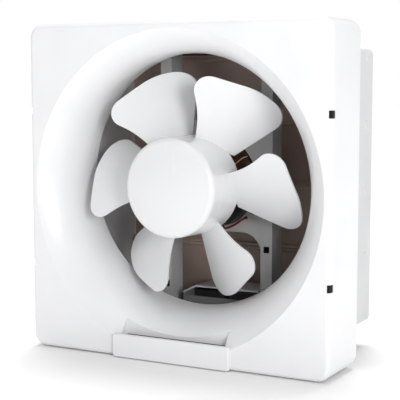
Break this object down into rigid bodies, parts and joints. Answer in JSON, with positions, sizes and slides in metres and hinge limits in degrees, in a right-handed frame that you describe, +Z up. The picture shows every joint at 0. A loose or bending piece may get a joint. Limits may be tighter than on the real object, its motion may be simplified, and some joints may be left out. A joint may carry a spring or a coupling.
{
  "type": "wall exhaust fan",
  "caption": "Square wall exhaust fan: bell-mouth panel with a grip bar, paddle-blade impeller on an open motor, bracket posts and rear louvres that the air opens.",
  "frame": {"origin": "centre of the wall screw pattern, on the plane of the wall's face, which is the flange's rear face", "axes": "+Z up, -Y out of the panel into the room, +Y through the wall to the outside, +X to the right as the room sees it"},
  "size_m": [0.34, 0.185, 0.34],
  "materials": {
    "white_panel": "glossy moulded white",
    "white_housing": "satin moulded white",
    "white_blades": "glossy moulded white",
    "grey_steel": "satin grey paint",
    "black_bell": "satin black paint",
    "core_steel": "stacked laminations",
    "copper_winding": "varnished copper end turns",
    "zinc_steel": "zinc plated",
    "bronze": "sintered bronze",
    "shaft_steel": "ground steel",
    "cast_aluminium": "as cast",
    "brown_louvre": "satin dark brown-grey",
    "white_cover": "white paint",
    "black_plastic": "moulded black",
    "black_rubber": "matt",
    "red_sleeve": "smooth sleeve",
    "grey_sleeve": "smooth sleeve"
  },
  "bodies": {
    "frame": {"front_panel": "white_panel", "bell_mouth": "white_panel", "grip_bar": "white_panel", "wall_flange": "white_housing", "duct_left": "white_housing", "duct_right": "white_housing", "duct_top": "white_housing", "duct_bottom": "white_housing", "motor_bracket": "grey_steel", "bracket_screws": "zinc_steel", "motor_front_bell": "black_bell", "motor_rear_bell": "black_bell", "stator_core": "core_steel", "front_winding": "copper_winding", "rear_winding": "copper_winding", "motor_bolts": "zinc_steel", "motor_nuts": "zinc_steel", "front_bearing": "bronze", "rear_bearing": "bronze", "front_bearing_retainer": "zinc_steel", "rear_bearing_retainer": "zinc_steel", "terminal_tray": "grey_steel", "terminal_cover": "white_cover", "terminal_block": "black_plastic", "terminal_screws": "zinc_steel", "capacitor": "black_plastic", "cable_grommet": "black_rubber", "motor_lead_red": "red_sleeve", "motor_lead_grey": "grey_sleeve", "lead_clip": "black_plastic"},
    "rotor": {"motor_shaft": "shaft_steel", "rotor_core": "core_steel", "rotor_end_rings": "cast_aluminium", "thrust_washers": "zinc_steel", "impeller": "white_blades", "hub_cap": "white_blades", "impeller_washer": "zinc_steel", "impeller_nut": "zinc_steel", "drive_pin": "shaft_steel"},
    "louvre_1": {"louvre_1": "brown_louvre"},
    "louvre_2": {"louvre_2": "brown_louvre"},
    "louvre_3": {"louvre_3": "brown_louvre"},
    "louvre_4": {"louvre_4": "brown_louvre"},
    "tie_rod": {"tie_rod": "brown_louvre"}
  },
  "joints": [
    {"name": "rotor_spin", "type": "hinge", "parent": "frame", "child": "rotor", "pos_m": [0, 0, 0.006], "axis": [0, -1, 0], "continuous": true},
    {"name": "louvre_1_swing", "type": "hinge", "parent": "frame", "child": "louvre_1", "pos_m": [0, 0.088, 0.1355], "axis": [1, 0, 0], "range_deg": [0, 70]},
    {"name": "louvre_2_swing", "type": "hinge", "parent": "frame", "child": "louvre_2", "pos_m": [0, 0.088, 0.0663], "axis": [1, 0, 0], "range_deg": [0, 70]},
    {"name": "louvre_3_swing", "type": "hinge", "parent": "frame", "child": "louvre_3", "pos_m": [0, 0.088, -0.0029], "axis": [1, 0, 0], "range_deg": [0, 70]},
    {"name": "louvre_4_swing", "type": "hinge", "parent": "frame", "child": "louvre_4", "pos_m": [0, 0.088, -0.0721], "axis": [1, 0, 0], "range_deg": [0, 70]},
    {"name": "tie_rod_pivot", "type": "hinge", "parent": "louvre_1", "child": "tie_rod", "pos_m": [0.12, 0.068, 0.1355], "axis": [1, 0, 0], "range_deg": [-70, 0]}
  ],
  "couplings": [
    {"joint": "louvre_2_swing", "follows": "louvre_1_swing", "ratio": 1},
    {"joint": "louvre_3_swing", "follows": "louvre_1_swing", "ratio": 1},
    {"joint": "louvre_4_swing", "follows": "louvre_1_swing", "ratio": 1},
    {"joint": "tie_rod_pivot", "follows": "louvre_1_swing", "ratio": -1}
  ]
}
